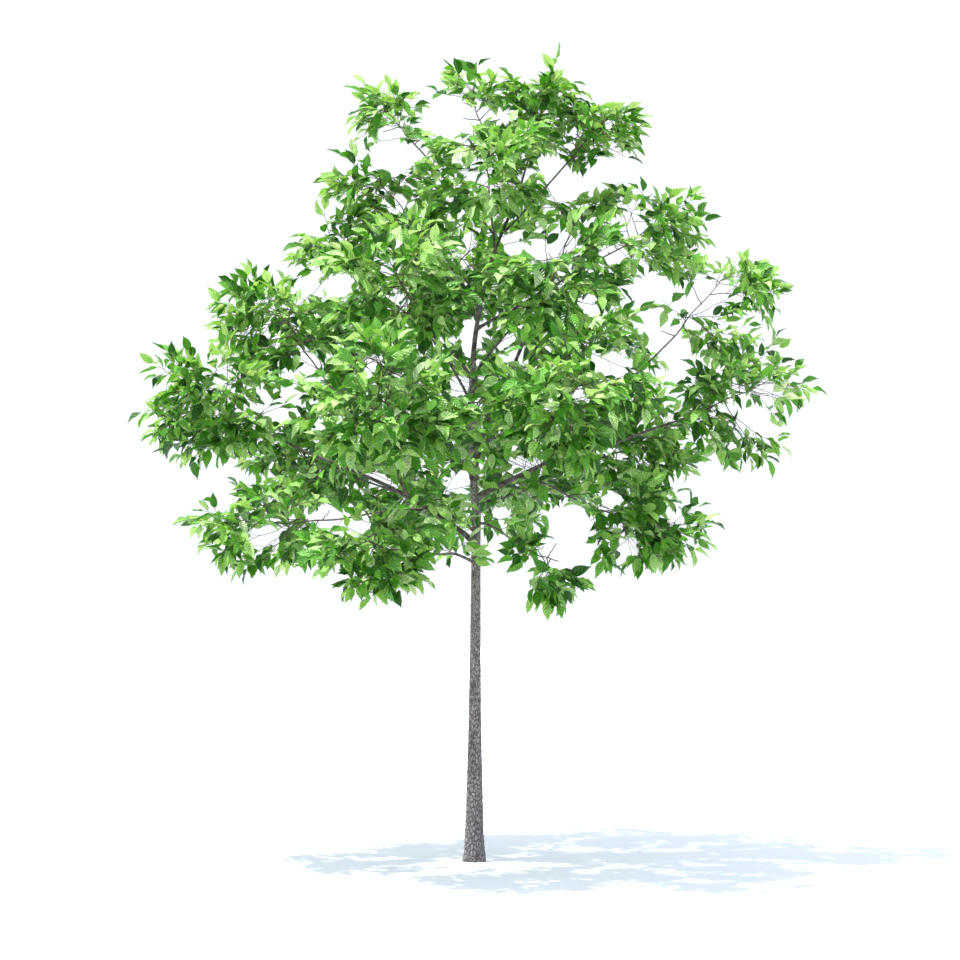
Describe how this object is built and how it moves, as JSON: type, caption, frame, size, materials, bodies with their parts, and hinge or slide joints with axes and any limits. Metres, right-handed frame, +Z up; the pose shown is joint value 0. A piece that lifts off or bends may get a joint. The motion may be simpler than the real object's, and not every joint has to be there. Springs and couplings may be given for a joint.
{
  "type": "black plum tree",
  "caption": "Young broadleaf fruit tree with a clear straight stem and a broad, open, rounded crown, rooted in level ground.",
  "frame": {"origin": "middle of the flat cut under the trunk, at ground level", "axes": "+Z up along the trunk, +X to the right and -Y towards the viewer, as seen from the front"},
  "size_m": [4.2285, 3.8888, 5.0153],
  "materials": {
    "bark_trunk": "grey finely fissured bark, matt",
    "bark_bough": "smoother grey young bark, matt",
    "foliage": "mid-green summer leaves and thin twigs, softly glossy"
  },
  "bodies": {
    "root": {"bough_back_left": "bark_bough", "bough_back_low_left": "bark_bough", "bough_back_low_right": "bark_bough", "bough_back_middle": "bark_bough", "bough_back_right": "bark_bough", "bough_back_upper": "bark_bough", "bough_far_left": "bark_bough", "bough_far_right": "bark_bough", "bough_front_left": "bark_bough", "bough_front_low_left": "bark_bough", "bough_front_low_right": "bark_bough", "bough_front_right": "bark_bough", "bough_front_top": "bark_bough", "bough_front_upper_left": "bark_bough", "bough_front_upper_right": "bark_bough", "bough_left": "bark_bough", "bough_left_shoulder": "bark_bough", "bough_left_upper": "bark_bough", "bough_low_left": "bark_bough", "bough_low_left_back": "bark_bough", "bough_low_right": "bark_bough", "bough_low_right_back": "bark_bough", "bough_right": "bark_bough", "bough_right_shoulder": "bark_bough", "bough_right_upper": "bark_bough", "bough_top_left": "bark_bough", "bough_upper_left": "bark_bough", "bough_upper_right": "bark_bough", "leader": "bark_bough", "leaves_back_left": "foliage", "leaves_back_low_left": "foliage", "leaves_back_low_right": "foliage", "leaves_back_middle": "foliage", "leaves_back_right": "foliage", "leaves_back_upper": "foliage", "leaves_far_left": "foliage", "leaves_far_right": "foliage", "leaves_front_left": "foliage", "leaves_front_low_left": "foliage", "leaves_front_low_right": "foliage", "leaves_front_right": "foliage", "leaves_front_top": "foliage", "leaves_front_upper_left": "foliage", "leaves_front_upper_right": "foliage", "leaves_left": "foliage", "leaves_left_shoulder": "foliage", "leaves_left_upper": "foliage", "leaves_low_left": "foliage", "leaves_low_left_back": "foliage", "leaves_low_right": "foliage", "leaves_low_right_back": "foliage", "leaves_right": "foliage", "leaves_right_shoulder": "foliage", "leaves_right_upper": "foliage", "leaves_top": "foliage", "leaves_top_left": "foliage", "leaves_upper_left": "foliage", "leaves_upper_right": "foliage", "trunk": "bark_trunk"}
  },
  "joints": []
}
